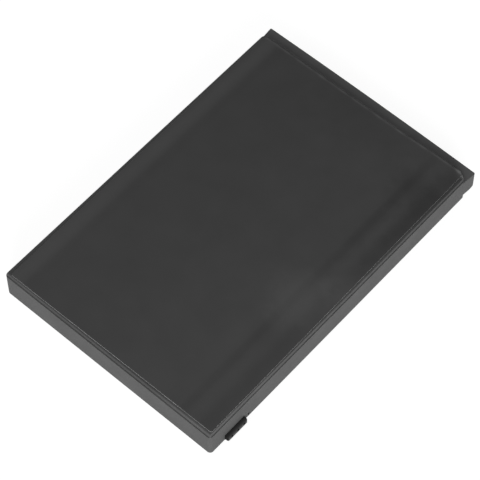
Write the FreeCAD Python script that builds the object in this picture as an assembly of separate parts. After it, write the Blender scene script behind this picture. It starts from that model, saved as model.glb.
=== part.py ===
"""Removable phone battery: moulded case with a front lip, cover, film, cell, board and contacts.

X runs across the width, Y along the length towards the lip, Z up from the underside.
The origin is on the underside, midway along the length and the width. All sizes in millimetres.
"""
import FreeCAD, Part
import math
import os

Vector = FreeCAD.Vector

# Cell, which the case is built around
cell_width = 37.5
cell_length = 48.45
cell_thickness = 4.2
cell_side_radius = 1.5
cell_base_radius = 0.5

# Case walls, and the room they leave round the cell
wall = 0.8
floor = 0.4
end_wall = 0.9
cell_side_gap = 0.7
cell_end_gap = 0.7
near_corner_radius = 0.6
bottom_edge_radius = 0.3
inner_corner_radius = 0.5

# Ribs that locate the cell, and posts that carry the board
rib_width = 1.0
rib_clearance = 0.1
side_ribs = 3
end_rib_spacing = 20.0
post_diameter = 1.2
post_inset = 2.0

# Front lip
lip_reach = 2.4
lip_underside = 1.05
lip_drop = 0.35
lip_nose_radius = 1.25
lip_bow = 0.15
lip_flare = 0.2
lip_corner_radius = 0.2
lip_root_radius = 0.15
lip_least_flat = 0.2

# Rim, with the ledge that shows round the cover
rim_forward = 0.6
rim_far_radius = 1.2
side_ledge = 0.1
near_ledge = 0.13
far_ledge = 0.16

# Top cover, whose sides lean in, and its locating tongue
cover_thickness = 0.6
cover_draft = 0.16
cover_near_radius = 0.2
cover_edge_radius = 0.08
tongue_depth = 0.8
tongue_thickness = 0.5
fit_clearance = 0.05

# Film, bonded a little askew
film_thickness = 0.15
film_side_margin = 0.4
film_near_margin = 0.27
film_far_margin = 0.2
film_near_radius = 0.3
film_far_radius = 0.8
film_shift = 0.1
film_skew = 0.34

# Tape under the cell and pad over it
tape_thickness = 0.1
tape_width = 26.0
tape_length = 40.0
pad_thickness = 0.3
pad_width = 28.0
pad_length = 38.0

# Terminal block at the lower right edge: a round nose through the wall, with a fork contact in each slit
terminal_setback = 2.35
terminal_length = 4.1
terminal_height = 1.5
terminal_depth = 4.6
terminal_heel = 0.7
terminal_recess = 0.1
terminal_gap = 0.1
nose_reach = 0.75
nose_lift = 0.25
nose_drop = 0.05
nose_radius = 0.5
nose_corner_radius = 0.3
slit_count = 3
slit_pitch = 1.3
slit_width = 0.35
slit_length = 3.0
slit_roof = 0.25
slit_floor = 0.35
fork_clearance = 0.05
fork_recess = 0.7
fork_arm = 0.15
fork_slot_length = 2.0
tail_length = 0.8
relief_offset = 0.85
relief_width = 0.35
relief_base = 0.4
relief_height = 1.15
relief_depth = 0.5

# Protection board and the parts on it: along and across from its left near corner, then size
board_length = 33.0
board_thickness = 0.6
board_end_gap = 0.4
board_near_gap = 1.0
board_cell_gap = 0.15
board_corner_radius = 0.4
chip_place = (17.2, 1.5)
chip_size = (2.9, 1.6, 1.1)
transistor_place = (12.0, 1.7)
transistor_size = (3.0, 2.4, 0.9)
thermistor_place = (28.5, 1.4)
thermistor_size = (1.6, 0.8, 0.6)
passive_start = (21.8, 0.6)
passive_size = (1.0, 0.5, 0.35)
passive_pitch = (1.8, 1.1)
passive_counts = (3, 2)

# Cell header: insulating paper, gasket, rivet, strips and thermal cut-off
insulator_thickness = 0.2
insulator_side_margin = 3.0
insulator_edge_margin = 0.4
window_clearance = 0.1
gasket_width = 6.0
gasket_height = 2.4
gasket_thickness = 0.25
rivet_width = 3.6
rivet_height = 1.4
rivet_thickness = 0.5
round_end_flat = 0.02
strip_thickness = 0.12
strip_width = 3.0
strip_foot = 2.2
strip_lift = 0.2
strip_height = 1.0
positive_tab_height = 1.6
positive_inset = 4.8
cutoff_offset = 8.0
cutoff_width = 5.0
cutoff_height = 1.7

# Places worked out from the sizes above
inner_x = cell_width / 2 + cell_side_gap
half_width = inner_x + wall
lip_half_width = half_width + lip_flare
board_bay = terminal_setback + terminal_length + terminal_gap + insulator_thickness
overall_length = wall + board_bay + cell_length + cell_end_gap + end_wall + lip_reach
near_y = -overall_length / 2
inner_near_y = near_y + wall
cell_near_y = inner_near_y + board_bay
cell_far_y = cell_near_y + cell_length
inner_far_y = cell_far_y + cell_end_gap
end_y = inner_far_y + end_wall
tip_y = end_y + lip_reach
rim_far_y = end_y + rim_forward
cell_z = floor + tape_thickness
cell_top_z = cell_z + cell_thickness
rim_z = cell_top_z + pad_thickness
lip_top_z = rim_z - lip_drop
cover_top_z = rim_z + cover_thickness
cover_half_width = half_width - side_ledge
cover_near_y = near_y + near_ledge
cover_far_y = rim_far_y - far_ledge
terminal_near_y = inner_near_y + terminal_setback
terminal_far_y = terminal_near_y + terminal_length
terminal_inner_x = half_width - terminal_depth
board_z = terminal_recess + terminal_height
nose_x = half_width + nose_reach
nose_z = board_z - nose_drop
slit_top_z = nose_z - slit_roof
nose_base_z = terminal_recess + nose_lift
slit_base_z = nose_base_z + slit_floor
board_top_z = board_z + board_thickness
board_right_x = inner_x - board_end_gap
board_left_x = board_right_x - board_length
positive_x = board_left_x + positive_inset
board_near_y = inner_near_y + board_near_gap
rivet_z = cell_z + cell_thickness / 2
rivet_face_y = cell_near_y - gasket_thickness - rivet_thickness
board_far_y = rivet_face_y - strip_thickness - board_cell_gap
paper_face_y = cell_near_y - insulator_thickness
lead_z = board_top_z + strip_lift
overshoot = 1.0
same_place = 0.005


def block(x_range, y_range, z_range):
    """Box between the two ends of each range."""
    corner = Vector(x_range[0], y_range[0], z_range[0])
    size = (x_range[1] - x_range[0], y_range[1] - y_range[0], z_range[1] - z_range[0])
    return Part.makeBox(size[0], size[1], size[2], corner)


def edges_where(shape, test):
    """Edges whose bounding box passes the test."""
    return [edge for edge in shape.Edges if test(edge.BoundBox)]


def upright_at(y):
    """Test for upright edges at one place along the length."""
    return lambda b: b.ZLength > same_place and max(b.XLength, b.YLength, abs(b.YMin - y)) < same_place


def level_at(z):
    """Test for edges that lie at one height."""
    return lambda b: max(b.ZLength, abs(b.ZMin - z)) < same_place


def rounded_block(x_range, y_range, z_range, near_radius, far_radius):
    """Box with its upright corners rounded, one radius at the near end and one at the far end."""
    shape = block(x_range, y_range, z_range)
    shape = shape.makeFillet(near_radius, edges_where(shape, upright_at(y_range[0])))
    return shape.makeFillet(far_radius, edges_where(shape, upright_at(y_range[1])))


def extruded(points, direction):
    """Prism on a closed outline of corner points."""
    wire = Part.makePolygon([Vector(*point) for point in points + points[:1]])
    return Part.Face(wire).extrude(Vector(*direction))


def save(shape, node):
    """Write one sub-part, and stop if its solid isn't sound."""
    if not shape.isValid():
        raise ValueError(node + " isn't a valid shape")
    shape.exportStep(os.path.join("parts", node + ".step"))


def side_profile():
    """Outline of the case seen from the side: end wall, root fillet, lip with its rounded nose."""
    least = lip_least_flat
    nose = min(lip_nose_radius, lip_top_z - lip_underside - least, lip_reach - lip_root_radius - least)
    root = lip_root_radius
    root_centre = (end_y + root, lip_underside - root)
    nose_centre = (tip_y - nose, lip_underside + nose)
    corners = [(near_y, 0), (end_y, 0), (end_y, root_centre[1]), (root_centre[0], lip_underside),
               (nose_centre[0], lip_underside), (tip_y, nose_centre[1]), (tip_y, lip_top_z),
               (near_y, lip_top_z)]
    points = [Vector(-lip_half_width, y, z) for y, z in corners]
    slant = math.sqrt(0.5)
    root_middle = Vector(-lip_half_width, root_centre[0] - slant * root, root_centre[1] + slant * root)
    nose_middle = Vector(-lip_half_width, nose_centre[0] + slant * nose, nose_centre[1] - slant * nose)
    edges = [Part.makeLine(points[0], points[1]), Part.makeLine(points[1], points[2]),
             Part.Arc(points[2], root_middle, points[3]).toShape(), Part.makeLine(points[3], points[4]),
             Part.Arc(points[4], nose_middle, points[5]).toShape(), Part.makeLine(points[5], points[6]),
             Part.makeLine(points[6], points[7]), Part.makeLine(points[7], points[0])]
    return Part.Face(Part.Wire(edges))


def plan_prism():
    """Outline of the case seen from above: rounded corners, and a lip that flares and bows out a little."""
    front_y = tip_y - lip_bow
    corners = [(lip_half_width, front_y), (half_width, end_y), (half_width, near_y),
               (-half_width, near_y), (-half_width, end_y), (-lip_half_width, front_y)]
    points = [Vector(x, y, -overshoot) for x, y in corners]
    edges = [Part.makeLine(start, end) for start, end in zip(points, points[1:])]
    edges.append(Part.Arc(points[-1], Vector(0, tip_y, -overshoot), points[0]).toShape())
    prism = Part.Face(Part.Wire(edges)).extrude(Vector(0, 0, lip_top_z + 2 * overshoot))
    prism = prism.makeFillet(near_corner_radius, edges_where(prism, upright_at(near_y)))
    return prism.makeFillet(lip_corner_radius, edges_where(prism, upright_at(front_y)))


def make_lower_case():
    """Moulded tray with its lip, stepped rim, locating ribs, board posts and terminal window."""
    body = side_profile().extrude(Vector(2 * lip_half_width, 0, 0)).common(plan_prism())
    body = body.makeFillet(bottom_edge_radius, edges_where(body, level_at(0)))
    rim = rounded_block((-half_width, half_width), (near_y, rim_far_y), (lip_top_z, rim_z),
                        near_corner_radius, rim_far_radius)
    case = body.fuse(rim).removeSplitter()
    cavity = rounded_block((-inner_x, inner_x), (inner_near_y, inner_far_y), (floor, rim_z + overshoot),
                           inner_corner_radius, inner_corner_radius)
    case = case.cut(cavity).fuse(make_ribs() + make_posts())
    window = block((terminal_inner_x - fit_clearance, half_width + overshoot),
                   (terminal_near_y - fit_clearance, terminal_far_y + fit_clearance),
                   (-overshoot, nose_z + fit_clearance))
    relief_y = terminal_far_y + relief_offset
    relief = block((half_width - relief_depth, half_width + overshoot),
                   (relief_y, relief_y + relief_width), (relief_base, relief_height))
    return case.cut([window, relief]).removeSplitter()


def make_ribs():
    """Ribs on the side walls and the end wall that locate the cell."""
    ribs = []
    heights = (floor / 2, rim_z - tongue_depth - fit_clearance)
    cell_side_x = cell_width / 2 + rib_clearance
    for index in range(side_ribs):
        y = cell_near_y + cell_length * (index + 0.5) / side_ribs
        along = (y - rib_width / 2, y + rib_width / 2)
        ribs.append(block((cell_side_x, inner_x + wall / 2), along, heights))
        ribs.append(block((-inner_x - wall / 2, -cell_side_x), along, heights))
    for x in (-end_rib_spacing / 2, end_rib_spacing / 2):
        across = (x - rib_width / 2, x + rib_width / 2)
        ribs.append(block(across, (cell_far_y + rib_clearance, inner_far_y + end_wall / 2), heights))
    return ribs


def make_posts():
    """Round posts on the floor under the left end and the middle of the board."""
    posts = []
    y = (board_near_y + board_far_y) / 2
    for x in (board_left_x + post_inset, board_left_x + board_length / 2):
        base = Vector(x, y, floor / 2)
        posts.append(Part.makeCylinder(post_diameter / 2, board_z - floor / 2, base))
    return posts


def cover_outline(z, inset):
    """Outline of the cover at one height, moved in from its foot."""
    half = cover_half_width - inset
    near_radius = max(cover_near_radius - inset, 2 * cover_edge_radius)
    far_radius = max(rim_far_radius - far_ledge - inset, 2 * cover_edge_radius)
    slab = rounded_block((-half, half), (cover_near_y + inset, cover_far_y - inset), (z, z + overshoot),
                         near_radius, far_radius)
    return [face for face in slab.Faces if level_at(z)(face.BoundBox)][0].OuterWire


def make_top_cover():
    """Cover plate with leaning sides and a soft top edge, and a tongue that drops inside the walls."""
    outlines = [cover_outline(rim_z, 0), cover_outline(cover_top_z, cover_draft)]
    plate = Part.makeLoft(outlines, True, True)
    plate = plate.makeFillet(cover_edge_radius, edges_where(plate, level_at(cover_top_z)))
    outer_x = inner_x - fit_clearance
    outer_y = (inner_near_y + fit_clearance, inner_far_y - fit_clearance)
    heights = (rim_z - tongue_depth, rim_z + cover_thickness / 2)
    tongue = rounded_block((-outer_x, outer_x), outer_y, heights, inner_corner_radius, inner_corner_radius)
    hollow = block((tongue_thickness - outer_x, outer_x - tongue_thickness),
                   (outer_y[0] + tongue_thickness, outer_y[1] - tongue_thickness),
                   (rim_z - tongue_depth - overshoot, rim_z))
    return plate.fuse(tongue).cut(hollow).removeSplitter()


def make_label_film():
    """Thin film on the flat of the cover, turned by a fraction of a degree."""
    half = cover_half_width - cover_draft - film_side_margin
    near = cover_near_y + cover_draft + film_near_margin
    far = cover_far_y - cover_draft - film_far_margin
    film = rounded_block((-half, half), (near, far), (cover_top_z, cover_top_z + film_thickness),
                         film_near_radius, film_far_radius)
    film.rotate(Vector(0, (near + far) / 2, 0), Vector(0, 0, 1), film_skew)
    film.translate(Vector(film_shift, 0, 0))
    return film


def make_cell_can():
    """Flat drawn can: rounded narrow sides, soft closed end, flat header at the near end."""
    half = cell_width / 2
    can = block((-half, half), (cell_near_y, cell_far_y), (cell_z, cell_top_z))
    can = can.makeFillet(cell_side_radius, edges_where(can, lambda b: b.YLength > cell_length / 2))
    return can.makeFillet(cell_base_radius, edges_where(
        can, lambda b: max(b.YLength, abs(b.YMax - cell_far_y)) < same_place))


def make_header_insulator():
    """Insulating paper on the header, with a window for the gasket and one for the positive strip."""
    half = cell_width / 2 - insulator_side_margin
    paper = block((-half, half), (paper_face_y, cell_near_y),
                  (cell_z + insulator_edge_margin, cell_top_z - insulator_edge_margin))
    through = (paper_face_y - overshoot, cell_near_y + overshoot)
    gasket_half = gasket_width / 2 + window_clearance
    gasket_window = block((-gasket_half, gasket_half), through,
                          (rivet_z - gasket_height / 2 - window_clearance,
                           rivet_z + gasket_height / 2 + window_clearance))
    strip_half = strip_width / 2 + window_clearance
    strip_window = block((positive_x - strip_half, positive_x + strip_half), through,
                         (board_top_z - window_clearance,
                          board_top_z + positive_tab_height + window_clearance))
    return paper.cut([gasket_window, strip_window])


def obround(width, height, y_range):
    """Plate with round ends on the header, centred on the rivet."""
    radius = height / 2
    plate = block((-width / 2, width / 2), y_range, (rivet_z - radius, rivet_z + radius))
    ends = edges_where(plate, lambda b: max(b.XLength, b.ZLength) < same_place)
    return plate.makeFillet(radius - round_end_flat, ends)


def make_terminal_gasket():
    """Insulating washer between the rivet and the can."""
    return obround(gasket_width, gasket_height, (cell_near_y - gasket_thickness, cell_near_y))


def make_negative_terminal():
    """Head of the rivet that brings the negative pole out of the can."""
    return obround(rivet_width, rivet_height, (rivet_face_y, cell_near_y - gasket_thickness))


def angled_strip(x, back_y, tab_height):
    """Nickel strip folded once: a tab against the header side and a foot on the board."""
    foot_y = back_y - strip_thickness - strip_foot
    front_y = back_y - strip_thickness
    low = board_top_z
    left = x - strip_width / 2
    profile = [(left, back_y, low), (left, back_y, low + tab_height), (left, front_y, low + tab_height),
               (left, front_y, low + strip_thickness), (left, foot_y, low + strip_thickness),
               (left, foot_y, low)]
    return extruded(profile, (strip_width, 0, 0))


def make_positive_strip():
    """Strip from the can, which is the positive pole, down to the board."""
    return angled_strip(positive_x, cell_near_y, positive_tab_height)


def make_cutoff_strip():
    """Strip behind the thermal cut-off, down to the board."""
    return angled_strip(cutoff_offset, paper_face_y, strip_lift + cutoff_height)


def make_thermal_cutoff():
    """Flat cut-off between its strip and the strip from the rivet."""
    return block((cutoff_offset - cutoff_width / 2, cutoff_offset + cutoff_width / 2),
                 (rivet_face_y, paper_face_y - strip_thickness), (lead_z, lead_z + cutoff_height))


def make_negative_strip():
    """Straight strip from the rivet's head across the face of the cut-off."""
    return block((-rivet_width / 2, cutoff_offset + cutoff_width / 2),
                 (rivet_face_y - strip_thickness, rivet_face_y),
                 (lead_z, lead_z + strip_height))


def make_circuit_board():
    """Narrow board across the near end."""
    return rounded_block((board_left_x, board_right_x), (board_near_y, board_far_y), (board_z, board_top_z),
                         board_corner_radius, board_corner_radius)


def on_board(place, size):
    """Package that stands on the board, its corner at a place along and across it."""
    x = board_left_x + place[0]
    y = board_near_y + place[1]
    return block((x, x + size[0]), (y, y + size[1]), (board_top_z, board_top_z + size[2]))


def make_board_passives():
    """Chip resistors and capacitors in rows."""
    chips = []
    for column in range(passive_counts[0]):
        for row in range(passive_counts[1]):
            place = (passive_start[0] + column * passive_pitch[0], passive_start[1] + row * passive_pitch[1])
            chips.append(on_board(place, passive_size))
    return Part.Compound(chips)


def slit_places():
    """Middle of each slit along the length."""
    middle = (terminal_near_y + terminal_far_y) / 2
    return [middle + (index - (slit_count - 1) / 2) * slit_pitch for index in range(slit_count)]


def make_terminal_block():
    """Black block: a round nose with slits for blades, a seat for the board, and a heel on the floor."""
    along = (terminal_near_y, terminal_far_y)
    bar = block((terminal_inner_x, nose_x), along, (nose_base_z, nose_z))
    front = edges_where(bar, lambda b: b.XMin > nose_x - same_place)
    level = [edge for edge in front if edge.BoundBox.YLength > same_place]
    upright = [edge for edge in front if edge.BoundBox.ZLength > same_place]
    nose = bar.makeFillet(nose_radius, level).common(bar.makeFillet(nose_corner_radius, upright))
    foot = block((terminal_inner_x, half_width), along, (terminal_recess, slit_base_z))
    seat = block((terminal_inner_x, inner_x - fit_clearance), along, (terminal_recess, board_z))
    heel = block((terminal_inner_x - terminal_heel, terminal_inner_x), along, (floor, board_z))
    cuts = []
    slit_inner_x = half_width - slit_length
    tail_x = slit_inner_x + tail_length
    for y in slit_places():
        across = (y - slit_width / 2, y + slit_width / 2)
        cuts.append(block((slit_inner_x, nose_x + overshoot), across, (slit_base_z, slit_top_z)))
        cuts.append(block((slit_inner_x, tail_x), across, (slit_top_z, board_z + overshoot)))
    return nose.fuse([foot, seat, heel]).cut(cuts).removeSplitter()


def make_contact_forks():
    """Plated fork in each slit: two arms towards the mouth, and a tail up to the board."""
    forks = []
    low = slit_base_z + fork_clearance
    high = slit_top_z - fork_clearance
    back_x = half_width - slit_length + fork_clearance
    front_x = half_width - fork_recess
    for y in slit_places():
        side_y = y - slit_width / 2 + fork_clearance
        thickness = slit_width - 2 * fork_clearance
        tail_x = back_x + tail_length - 2 * fork_clearance
        slot_x = front_x - fork_slot_length
        profile = [(back_x, low), (front_x, low), (front_x, low + fork_arm), (slot_x, low + fork_arm),
                   (slot_x, high - fork_arm), (front_x, high - fork_arm), (front_x, high), (tail_x, high),
                   (tail_x, board_z), (back_x, board_z)]
        forks.append(extruded([(x, side_y, z) for x, z in profile], (0, thickness, 0)))
    return Part.Compound(forks)


def centred_sheet(width, length, z_range):
    """Sheet centred on the flat side of the cell."""
    middle = (cell_near_y + cell_far_y) / 2
    return block((-width / 2, width / 2), (middle - length / 2, middle + length / 2), z_range)


os.makedirs("parts", exist_ok=True)
save(make_lower_case(), "lower_case")
save(make_top_cover(), "top_cover")
save(make_label_film(), "label_film")
save(make_cell_can(), "cell_can")
save(make_terminal_gasket(), "terminal_gasket")
save(make_negative_terminal(), "negative_terminal")
save(make_header_insulator(), "header_insulator")
save(make_circuit_board(), "circuit_board")
save(on_board(chip_place, chip_size), "protection_chip")
save(on_board(transistor_place, transistor_size), "switch_transistors")
save(on_board(thermistor_place, thermistor_size), "thermistor")
save(make_board_passives(), "board_passives")
save(make_positive_strip(), "positive_strip")
save(make_negative_strip(), "negative_strip")
save(make_cutoff_strip(), "cutoff_strip")
save(make_thermal_cutoff(), "thermal_cutoff")
save(make_terminal_block(), "terminal_block")
save(make_contact_forks(), "contact_forks")
save(centred_sheet(tape_width, tape_length, (floor, cell_z)), "cell_tape")
save(centred_sheet(pad_width, pad_length, (cell_top_z, rim_z)), "foam_pad")
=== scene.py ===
"""Looks of the phone battery: the satin film, the finishes of every piece, the studio and the camera."""
import math
import bmesh
import bpy
from mathutils import Matrix, Vector


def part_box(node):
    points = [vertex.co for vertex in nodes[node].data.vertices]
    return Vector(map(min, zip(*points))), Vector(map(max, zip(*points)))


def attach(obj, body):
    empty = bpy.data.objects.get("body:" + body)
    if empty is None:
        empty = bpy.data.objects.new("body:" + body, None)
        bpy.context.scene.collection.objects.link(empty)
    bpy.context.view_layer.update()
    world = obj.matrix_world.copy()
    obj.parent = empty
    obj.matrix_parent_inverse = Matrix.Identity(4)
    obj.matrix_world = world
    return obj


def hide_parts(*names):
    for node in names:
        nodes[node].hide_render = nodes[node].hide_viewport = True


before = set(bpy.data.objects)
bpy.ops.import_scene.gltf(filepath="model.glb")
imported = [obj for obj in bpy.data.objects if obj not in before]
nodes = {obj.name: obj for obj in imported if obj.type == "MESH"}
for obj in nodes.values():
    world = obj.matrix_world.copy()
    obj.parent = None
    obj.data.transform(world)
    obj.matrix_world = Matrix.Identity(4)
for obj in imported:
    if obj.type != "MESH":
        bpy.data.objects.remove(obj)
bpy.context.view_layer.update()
MM = 0.001

# Camera: where the photograph was taken from, round the part's own axes
IMAGE_SIZE = 480
VIEW_AZIMUTH = 41.408
VIEW_ELEVATION = 59.025
VIEW_DISTANCE = 351.70 * MM
VIEW_RIGHT = -0.446 * MM
VIEW_UP = -0.063 * MM
FOCAL_PIXELS = 2333.2
SENSOR_WIDTH = 36.0
CLIP_START = 0.01

# Film: mesh
FILM_CELL = 0.4 * MM
FILM_SKEW = math.radians(0.34)
MERGE_DISTANCE = 0.001 * MM
FLAT_ANGLE = math.radians(1)
SHARP_ANGLE = math.radians(30)
EDGE_SLOPE = 0.5

# Film: folds along its length, each with its start and end across the width and its rise, in mm
FOLDS = ((-19.7, -16.6, 0.15), (-16.6, -15.2, -0.012), (13.6, 15.3, -0.055), (15.4, 17.1, 0.022),
         (17.1, 19.9, -0.085))
FOLD_IN_MESH = 0.35
FOLD_IN_RELIEF = 1.65

# Film: far edge, which lifts unevenly and stands out towards its right end
FAR_REACH = 0.40 * MM
FAR_LIFT = 0.045 * MM
FAR_ROWS = 6
FAR_WAVE = 0.8
FAR_WAVES = (0.45 * MM, 1.7 * MM)
BULGE = 0.25 * MM
BULGE_RANGE = (7.0 * MM, 16.0 * MM)
BULGE_REACH = 5.0 * MM

# Film: curled far right corner and faint swell
CURL_REACH = 1.3 * MM
CURL_LIFT = 0.12 * MM
SWELL_SIZE = (9.0 * MM, 13.0 * MM)
SWELL_HEIGHT = 0.006 * MM

# Film: finish
FILM_TONE = 0.028
FILM_CLOUD = 5.0 * MM
FILM_MOTTLING = 0.07
FILM_ROUGHNESS = 0.25
FILM_UNEVENNESS = 0.08
FILM_GRAIN = 0.18 * MM
FILM_GRAIN_DEPTH = 0.0015 * MM
FILM_EDGE = 0.15 * MM
CUT_EDGE_TONE = 0.22

# Film: painted light across the width, darker on the left and lighter on the right
WIDTH_PAINTED_LIGHT_RANGE = (-14.0 * MM, 13.0 * MM)
WIDTH_PAINTED_LIGHT = (0.93, 1.20)

# Soft patches of painted highlight and painted shade on film, cover and cut edge: middle, half width and
# half length in mm, and change of tone
FILM_PAINTED_LIGHT = ((15.2, -4.8, 7.0, 7.0, 1.46), (18.7, 17.5, 2.6, 13.0, 0.76), (15.8, 20.5, 4.2, 6.5, 0.79),
                (2.0, 25.0, 14.0, 6.5, 0.91), (12.2, -16.0, 2.2, 10.0, 1.10), (18.8, 0.3, 3.2, 4.0, 1.28),
                (15.0, 12.0, 1.6, 11.0, 0.86), (19.2, 27.9, 1.7, 0.5, 2.3))
COVER_PAINTED_LIGHT = ((20.0, -29.6, 12.0, 58.0, 1.5), (19.5, 28.0, 1.2, 0.8, 5.2), (20.2, 28.0, 8.0, 20.0, 0.78))
CUT_EDGE_PAINTED_SHADE = ((19.7, 28.0, 8.0, 24.0, 0.75),)
PATCH_REACH = (0.1, 1.1)
PATCH_RAGGED = 0.2
PATCH_RAGGED_SIZE = 2.5 * MM

# Ends of the terminal block: how square to the length, the painted shade that darkens them and their
# roughness beside the rest of it
END_FACING = (0.4, 0.8)
END_PAINTED_SHADE = 0.1
END_ROUGHENING = 1.9

# Every finish
NOISE_RANGE = (0.3, 0.7)
NOISE_DETAIL = 3.0
RAGGED_DETAIL = 4.0
GLOSS_UNEVENNESS = 0.1
EDGE_SAMPLES = 8

# Studio
FLOOR_HALF = 3.0
FLOOR_DIFFUSE = 0.80
FLOOR_SEEN_DIFFUSE = 0.24
FLOOR_SEEN_GLOW = 0.86
SKY_LOW = 0.90
SKY_HIGH = 0.30
SKY_TURN = 0.75
SKY_SIDE = (-0.6, -0.8, 0.0)
SKY_SIDE_RANGE = (-0.45, 0.3)
SKY_SIDE_LIGHT = (0.3, 3.0)
KEY_PLACE = (0.51, -0.435, 0.20)
KEY_SIZE = 0.40
KEY_POWER = 5.0


def smooth(value):
    """Smooth step from 0 to 1."""
    value = min(max(value, 0.0), 1.0)
    return value * value * (3 - 2 * value)


def grey(tone):
    """Neutral colour."""
    return (tone, tone, tone)


def link(tree, source, target):
    """Join an output to an input."""
    tree.links.new(source, target)


def coordinate(tree, kind="Object"):
    """Place of a surface point in the part's own axes, or another coordinate of it."""
    return tree.nodes.new("ShaderNodeTexCoord").outputs[kind]


def separated(tree, vector):
    """The X, Y and Z of a vector."""
    parts = tree.nodes.new("ShaderNodeSeparateXYZ")
    link(tree, vector, parts.inputs["Vector"])
    return parts.outputs


def combined(tree, operation, first, second):
    """Result of a sum, product or maximum of two values."""
    result = tree.nodes.new("ShaderNodeMath")
    result.operation = operation
    link(tree, first, result.inputs[0])
    link(tree, second, result.inputs[1])
    return result.outputs["Value"]


def scaled(tree, colour, factor):
    """Colour times a factor."""
    product = tree.nodes.new("ShaderNodeVectorMath")
    product.operation = "SCALE"
    link(tree, colour, product.inputs[0])
    link(tree, factor, product.inputs["Scale"])
    return product.outputs["Vector"]


def ramp(tree, source, reach, values, kind="LINEAR"):
    """Value that goes from one to another while the source crosses its reach."""
    node = tree.nodes.new("ShaderNodeMapRange")
    node.interpolation_type = kind
    node.inputs["From Min"].default_value = reach[0]
    node.inputs["From Max"].default_value = reach[1]
    node.inputs["To Min"].default_value = values[0]
    node.inputs["To Max"].default_value = values[1]
    link(tree, source, node.inputs["Value"])
    return node.outputs["Result"]


def soft_ramp(tree, source, reach, values):
    """Ramp that starts and ends smoothly."""
    return ramp(tree, source, reach, values, "SMOOTHSTEP")


def noise(tree, size, detail=NOISE_DETAIL, stretch=(1, 1, 1)):
    """Noise in the part's own axes with features of about that size."""
    mapping = tree.nodes.new("ShaderNodeMapping")
    mapping.inputs["Scale"].default_value = [1 / (size * s) for s in stretch]
    texture = tree.nodes.new("ShaderNodeTexNoise")
    texture.inputs["Scale"].default_value = 1.0
    texture.inputs["Detail"].default_value = detail
    link(tree, coordinate(tree), mapping.inputs["Vector"])
    link(tree, mapping.outputs["Vector"], texture.inputs["Vector"])
    return texture.outputs["Fac"]


def spread(tree, source, low, high):
    """Noise turned into values between two limits."""
    return ramp(tree, source, NOISE_RANGE, (low, high))


def tint(tree, source, colour, variation):
    """Colour that a noise makes darker and lighter."""
    mix = tree.nodes.new("ShaderNodeMix")
    mix.data_type = "RGBA"
    mix.inputs["A"].default_value = (*[c * (1 - variation) for c in colour], 1)
    mix.inputs["B"].default_value = (*[c * (1 + variation) for c in colour], 1)
    link(tree, spread(tree, source, 0, 1), mix.inputs["Factor"])
    return mix.outputs["Result"]


def patch(tree, spot, height):
    """Change of tone in one soft patch with a ragged edge, 1 outside it."""
    x, y, width, length, change = spot
    mapping = tree.nodes.new("ShaderNodeMapping")
    mapping.vector_type = "TEXTURE"
    mapping.inputs["Location"].default_value = (x * MM, y * MM, height)
    mapping.inputs["Scale"].default_value = (width * MM, length * MM, 1)
    distance = tree.nodes.new("ShaderNodeVectorMath")
    distance.operation = "LENGTH"
    link(tree, coordinate(tree), mapping.inputs["Vector"])
    link(tree, mapping.outputs["Vector"], distance.inputs[0])
    ragged = spread(tree, noise(tree, PATCH_RAGGED_SIZE, RAGGED_DETAIL), -PATCH_RAGGED, PATCH_RAGGED)
    reach = combined(tree, "ADD", distance.outputs["Value"], ragged)
    return soft_ramp(tree, reach, PATCH_REACH, (change, 1.0))


def softened(tree, radius):
    """Shading direction that turns round the edges with that radius."""
    bevel = tree.nodes.new("ShaderNodeBevel")
    bevel.samples = EDGE_SAMPLES
    bevel.inputs["Radius"].default_value = radius
    return bevel.outputs["Normal"]


def bump(tree, shader, source, depth, before=None):
    """Relief of that depth on the shader's surface, over an earlier relief if there is one."""
    relief = tree.nodes.new("ShaderNodeBump")
    relief.inputs["Distance"].default_value = depth
    link(tree, source, relief.inputs["Height"])
    if before:
        link(tree, before, relief.inputs["Normal"])
    link(tree, relief.outputs["Normal"], shader.inputs["Normal"])
    return relief.outputs["Normal"]


def new_material(name):
    """Material with a node tree, and its main shader."""
    material = bpy.data.materials.new(name)
    material.use_nodes = True
    return material, material.node_tree, material.node_tree.nodes["Principled BSDF"]


def finish(name, colour, roughness, variation=0.12, cloud=4 * MM, grain=0.12 * MM, depth=0.004 * MM,
           metallic=0.0, specular=0.5, stretch=(1, 1, 1), edge=0.0):
    """Finish with cloudy tone, uneven gloss, a fine grain in relief and, where asked for, softened edges."""
    material, tree, shader = new_material(name)
    shader.inputs["Metallic"].default_value = metallic
    shader.inputs["Specular IOR Level"].default_value = specular
    clouds = noise(tree, cloud, stretch=stretch)
    link(tree, tint(tree, clouds, colour, variation), shader.inputs["Base Color"])
    fine = noise(tree, grain, stretch=stretch)
    gloss = spread(tree, fine, roughness * (1 - GLOSS_UNEVENNESS), roughness * (1 + GLOSS_UNEVENNESS))
    link(tree, gloss, shader.inputs["Roughness"])
    bump(tree, shader, fine, depth, softened(tree, edge) if edge else None)
    return material


def shade(tree, shader, light):
    """Multiply the shader's colour by a factor."""
    colour = shader.inputs["Base Color"].links[0].from_socket
    link(tree, scaled(tree, colour, light), shader.inputs["Base Color"])


def paint_light_patches(material, spots):
    """Paint highlights and shade on a material in a few soft patches."""
    tree = material.node_tree
    for spot in spots:
        shade(tree, tree.nodes["Principled BSDF"], patch(tree, spot, 0))


def paint_shade_on_ends(material):
    """Paint shade on the faces square to the length, darkening them to near black, and make them rougher."""
    tree = material.node_tree
    shader = tree.nodes["Principled BSDF"]
    along = separated(tree, coordinate(tree, "Normal"))["Y"]
    facing = combined(tree, "MULTIPLY", along, along)
    # painted shade: the end faces are darkened to near black
    shade(tree, shader, soft_ramp(tree, facing, END_FACING, (1.0, END_PAINTED_SHADE)))
    gloss = shader.inputs["Roughness"].links[0].from_socket
    rougher = soft_ramp(tree, facing, END_FACING, (1.0, END_ROUGHENING))
    link(tree, combined(tree, "MULTIPLY", gloss, rougher), shader.inputs["Roughness"])


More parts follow.
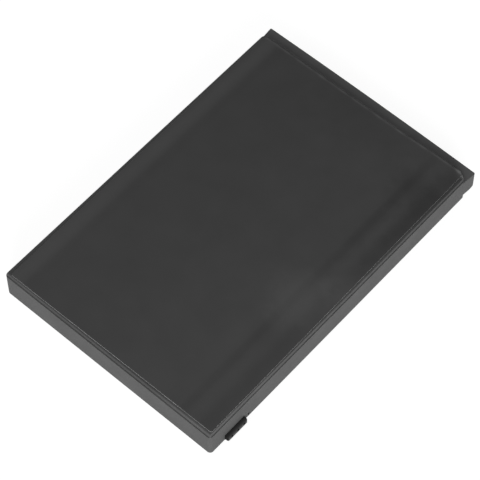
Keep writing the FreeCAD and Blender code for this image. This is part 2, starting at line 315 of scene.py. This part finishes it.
def make_film_material(top):
    """Satin dark film: faint mottling, painted light across the width and painted highlights and shade in
    soft patches, folds and a very fine grain in relief.
    """
    material, tree, shader = new_material("satin_film")
    clouds = noise(tree, FILM_CLOUD, RAGGED_DETAIL)
    link(tree, tint(tree, clouds, grey(FILM_TONE), FILM_MOTTLING), shader.inputs["Base Color"])
    across = separated(tree, coordinate(tree))["X"]
    # painted light: the film's colour goes darker on the left and lighter on the right across its width
    light = soft_ramp(tree, across, WIDTH_PAINTED_LIGHT_RANGE, WIDTH_PAINTED_LIGHT)
    # painted highlights and painted shade in soft patches on the film
    for spot in FILM_PAINTED_LIGHT:
        light = combined(tree, "MULTIPLY", light, patch(tree, spot, top))
    shade(tree, shader, light)
    fine = noise(tree, FILM_GRAIN)
    smoother, rougher = FILM_ROUGHNESS * (1 - FILM_UNEVENNESS), FILM_ROUGHNESS * (1 + FILM_UNEVENNESS)
    link(tree, spread(tree, fine, smoother, rougher), shader.inputs["Roughness"])
    grain = bump(tree, shader, fine, FILM_GRAIN_DEPTH, softened(tree, FILM_EDGE))
    bump(tree, shader, fold_relief(tree, across), FOLD_IN_RELIEF, grain)
    return material


def fold_relief(tree, across):
    """Height of the folds as relief, which deepens those in the mesh."""
    rises = [soft_ramp(tree, across, (start * MM, end * MM), (0, rise * MM)) for start, end, rise in FOLDS]
    total = rises[0]
    for rise in rises[1:]:
        total = combined(tree, "ADD", total, rise)
    return total


def film_height(x, y, right, far):
    """Height of the film over its flat place: folds, a lifted far edge, a curled corner, a faint swell."""
    height = SWELL_HEIGHT * math.sin(x / SWELL_SIZE[0]) * math.cos(y / SWELL_SIZE[1])
    uneven = 1 + FAR_WAVE * math.sin(x / FAR_WAVES[0]) * math.sin(x / FAR_WAVES[1])
    height += FAR_LIFT * uneven * smooth(1 - (far - y) / FAR_REACH)
    height += CURL_LIFT * smooth(1 - math.hypot(right - x, far - y) / CURL_REACH)
    for start, end, rise in FOLDS:
        width = (end - start) * MM
        height += FOLD_IN_MESH * rise * MM * (smooth((x - start * MM) / width) - smooth(-start * MM / width))
    return height


def film_bulge(x, y, far):
    """How far the film's far edge stands out towards its right end, fading along the length."""
    start, end = BULGE_RANGE
    return BULGE * smooth((x - start) / (end - start)) * smooth(1 - (far - y) / BULGE_REACH)


def cut_grid(shape, low, high, far):
    """Cut the film into small cells, with closer rows where its far edge lifts."""
    columns = int((high.x - low.x) / FILM_CELL)
    rows = int((high.y - low.y) / FILM_CELL)
    across = [low.x + (high.x - low.x) * index / columns for index in range(1, columns)]
    along = [low.y + (high.y - low.y) * index / rows for index in range(1, rows)]
    along += [far - FAR_REACH * index / FAR_ROWS for index in range(1, FAR_ROWS + 1)]
    cuts = [(Vector((x, 0, 0)), Vector((1, 0, 0))) for x in across]
    cuts += [(Vector((0, y, 0)), Vector((0, 1, 0))) for y in along]
    for place, normal in cuts:
        everything = shape.verts[:] + shape.edges[:] + shape.faces[:]
        bmesh.ops.bisect_plane(shape, geom=everything, plane_co=place, plane_no=normal)


def make_film():
    """The film as a fine mesh on its own outline, so that its gentle waves are real."""
    low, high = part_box("label_film")
    cut_edge = finish("film_cut_edge", grey(CUT_EDGE_TONE), 0.60, variation=0.3, cloud=1.5 * MM)
    # painted shade on the far part of the film's cut edge
    paint_light_patches(cut_edge, CUT_EDGE_PAINTED_SHADE)
    mesh = nodes["label_film"].data.copy()
    mesh.materials.clear()
    mesh.materials.append(make_film_material(high.z))
    mesh.materials.append(cut_edge)
    film = bpy.data.objects.new("film_sheet", mesh)
    bpy.context.scene.collection.objects.link(film)
    shape = bmesh.new()
    shape.from_mesh(mesh)
    centre = (low + high) / 2
    bmesh.ops.rotate(shape, verts=shape.verts, cent=centre, matrix=Matrix.Rotation(-FILM_SKEW, 3, "Z"))
    bmesh.ops.remove_doubles(shape, verts=shape.verts, dist=MERGE_DISTANCE)
    bmesh.ops.dissolve_limit(shape, angle_limit=FLAT_ANGLE, verts=shape.verts, edges=shape.edges)
    right = max(vertex.co.x for vertex in shape.verts)
    far = max(vertex.co.y for vertex in shape.verts)
    cut_grid(shape, low, high, far)
    for vertex in shape.verts:
        if vertex.co.z > centre.z:
            vertex.co.z += film_height(vertex.co.x, vertex.co.y, right, far)
        vertex.co.y += film_bulge(vertex.co.x, vertex.co.y, far)
    shape.normal_update()
    for face in shape.faces:
        face.material_index = int(abs(face.normal.z) < EDGE_SLOPE)
    bmesh.ops.rotate(shape, verts=shape.verts, cent=centre, matrix=Matrix.Rotation(FILM_SKEW, 3, "Z"))
    shape.to_mesh(mesh)
    shape.free()
    mesh.shade_smooth()
    mesh.set_sharp_from_angle(angle=SHARP_ANGLE)
    return film


def dress(node, material):
    """Give a CAD node its material."""
    mesh = nodes[node].data
    mesh.materials.clear()
    mesh.materials.append(material)


def seen_directly(tree):
    """1 for rays from the camera, a mirror or through glass, else 0."""
    rays = tree.nodes.new("ShaderNodeLightPath").outputs
    seen = combined(tree, "MAXIMUM", rays["Is Camera Ray"], rays["Is Glossy Ray"])
    return combined(tree, "MAXIMUM", seen, rays["Is Transmission Ray"])


def make_floor():
    """Wide pale floor: white where it is seen, with the object's soft shadow kept."""
    mesh = bpy.data.meshes.new("floor")
    corners = [(-1, -1), (1, -1), (1, 1), (-1, 1)]
    mesh.from_pydata([(x * FLOOR_HALF, y * FLOOR_HALF, 0) for x, y in corners], [], [(0, 1, 2, 3)])
    floor = bpy.data.objects.new("floor", mesh)
    bpy.context.scene.collection.objects.link(floor)
    material = bpy.data.materials.new("floor_white")
    material.use_nodes = True
    tree = material.node_tree
    tree.nodes.clear()
    plain = tree.nodes.new("ShaderNodeBsdfDiffuse")
    plain.inputs["Color"].default_value = (*grey(FLOOR_DIFFUSE), 1)
    shaded = tree.nodes.new("ShaderNodeBsdfDiffuse")
    shaded.inputs["Color"].default_value = (*grey(FLOOR_SEEN_DIFFUSE), 1)
    glow = tree.nodes.new("ShaderNodeEmission")
    glow.inputs["Strength"].default_value = FLOOR_SEEN_GLOW
    both = tree.nodes.new("ShaderNodeAddShader")
    mix = tree.nodes.new("ShaderNodeMixShader")
    output = tree.nodes.new("ShaderNodeOutputMaterial")
    link(tree, shaded.outputs["BSDF"], both.inputs[0])
    link(tree, glow.outputs["Emission"], both.inputs[1])
    link(tree, seen_directly(tree), mix.inputs["Fac"])
    link(tree, plain.outputs["BSDF"], mix.inputs[1])
    link(tree, both.outputs["Shader"], mix.inputs[2])
    link(tree, mix.outputs["Shader"], output.inputs["Surface"])
    mesh.materials.append(material)


def make_sky():
    """Soft light all round, stronger near the horizon and on one side, white where the camera sees it."""
    world = bpy.data.worlds.new("studio")
    bpy.context.scene.world = world
    world.use_nodes = True
    tree = world.node_tree
    soft = tree.nodes["Background"]
    soft.inputs["Color"].default_value = (1, 1, 1, 1)
    direction = coordinate(tree, "Generated")
    side = tree.nodes.new("ShaderNodeVectorMath")
    side.operation = "DOT_PRODUCT"
    side.inputs[1].default_value = SKY_SIDE
    link(tree, direction, side.inputs[0])
    overhead = [SKY_HIGH * light for light in SKY_SIDE_LIGHT]
    high = soft_ramp(tree, side.outputs["Value"], SKY_SIDE_RANGE, overhead)
    strength = soft_ramp(tree, separated(tree, direction)["Z"], (0.0, SKY_TURN), (SKY_LOW, SKY_HIGH))
    link(tree, high, strength.node.inputs["To Max"])
    link(tree, strength, soft.inputs["Strength"])
    white = tree.nodes.new("ShaderNodeBackground")
    white.inputs["Color"].default_value = (1, 1, 1, 1)
    mix = tree.nodes.new("ShaderNodeMixShader")
    link(tree, tree.nodes.new("ShaderNodeLightPath").outputs["Is Camera Ray"], mix.inputs["Fac"])
    link(tree, soft.outputs["Background"], mix.inputs[1])
    link(tree, white.outputs["Background"], mix.inputs[2])
    link(tree, mix.outputs["Shader"], tree.nodes["World Output"].inputs["Surface"])


def make_lamp(name, place, size, power):
    """Square soft box that faces the part and leaves no glare on the film."""
    data = bpy.data.lights.new(name, "AREA")
    data.size = size
    data.energy = power
    lamp = bpy.data.objects.new(name, data)
    lamp.location = place
    lamp.rotation_mode = "QUATERNION"
    lamp.rotation_quaternion = (-Vector(place)).to_track_quat("-Z", "Y")
    lamp.visible_glossy = False
    bpy.context.scene.collection.objects.link(lamp)


def make_camera():
    """Camera at the photograph's place."""
    azimuth = math.radians(VIEW_AZIMUTH)
    elevation = math.radians(VIEW_ELEVATION)
    level = math.cos(elevation)
    back = Vector((math.sin(azimuth) * level, -math.cos(azimuth) * level, math.sin(elevation)))
    right = Vector((math.cos(azimuth), math.sin(azimuth), 0))
    up = back.cross(right)
    data = bpy.data.cameras.new("photo_camera")
    data.sensor_width = SENSOR_WIDTH
    data.lens = FOCAL_PIXELS * SENSOR_WIDTH / IMAGE_SIZE
    data.clip_start = CLIP_START
    camera = bpy.data.objects.new("photo_camera", data)
    bpy.context.scene.collection.objects.link(camera)
    camera.matrix_world = Matrix((right, up, back)).transposed().to_4x4()
    camera.location = VIEW_DISTANCE * back + VIEW_RIGHT * right + VIEW_UP * up
    bpy.context.scene.camera = camera


film = make_film()
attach(film, "root")
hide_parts("label_film")

case_plastic = finish("case_plastic", grey(0.075), 0.60, variation=0.06, grain=0.16 * MM, depth=0.006 * MM,
                      specular=0.1)
cover_plastic = finish("cover_plastic", grey(0.040), 0.45, variation=0.06, grain=0.14 * MM, depth=0.003 * MM,
                       specular=0.3, edge=0.25 * MM)
# painted highlights and painted shade on the cover's right margin and far right corner
paint_light_patches(cover_plastic, COVER_PAINTED_LIGHT)
block_plastic = finish("block_plastic", grey(0.014), 0.50, grain=0.10 * MM)
# painted shade on the block's end faces
paint_shade_on_ends(block_plastic)
gold = finish("contact_gold", (0.80, 0.56, 0.22), 0.28, grain=0.05 * MM, depth=0.001 * MM, metallic=1.0)
nickel = finish("nickel", (0.62, 0.59, 0.54), 0.32, grain=0.06 * MM, metallic=1.0, stretch=(12, 1, 1))
aluminium = finish("drawn_aluminium", (0.74, 0.75, 0.76), 0.36, grain=0.06 * MM, metallic=1.0,
                   stretch=(1, 14, 1))
gasket = finish("gasket_plastic", (0.68, 0.66, 0.60), 0.45)
paper = finish("insulating_paper", (0.34, 0.30, 0.18), 0.75, grain=0.09 * MM, depth=0.01 * MM)
solder_mask = finish("solder_mask", (0.012, 0.090, 0.035), 0.30, cloud=2 * MM)
package = finish("package_black", grey(0.012), 0.55)
ceramic = finish("chip_ceramic", (0.24, 0.17, 0.10), 0.40, cloud=0.8 * MM)
cutoff = finish("cutoff_plastic", grey(0.02), 0.50)
tape = finish("adhesive_tape", (0.60, 0.60, 0.57), 0.60, grain=0.20 * MM)
foam = finish("foam", grey(0.015), 0.90, cloud=0.6 * MM, grain=0.25 * MM, depth=0.05 * MM)
finishes = {
    "lower_case": case_plastic, "top_cover": cover_plastic, "terminal_block": block_plastic,
    "contact_forks": gold, "cell_can": aluminium, "terminal_gasket": gasket, "negative_terminal": nickel,
    "header_insulator": paper, "circuit_board": solder_mask, "protection_chip": package,
    "switch_transistors": package, "thermistor": ceramic, "board_passives": ceramic,
    "positive_strip": nickel, "negative_strip": nickel, "cutoff_strip": nickel, "thermal_cutoff": cutoff,
    "cell_tape": tape, "foam_pad": foam,
}
for node, material in finishes.items():
    dress(node, material)

make_floor()
make_sky()
make_lamp("key", KEY_PLACE, KEY_SIZE, KEY_POWER)
make_camera()
bpy.context.scene.view_settings.view_transform = "Standard"
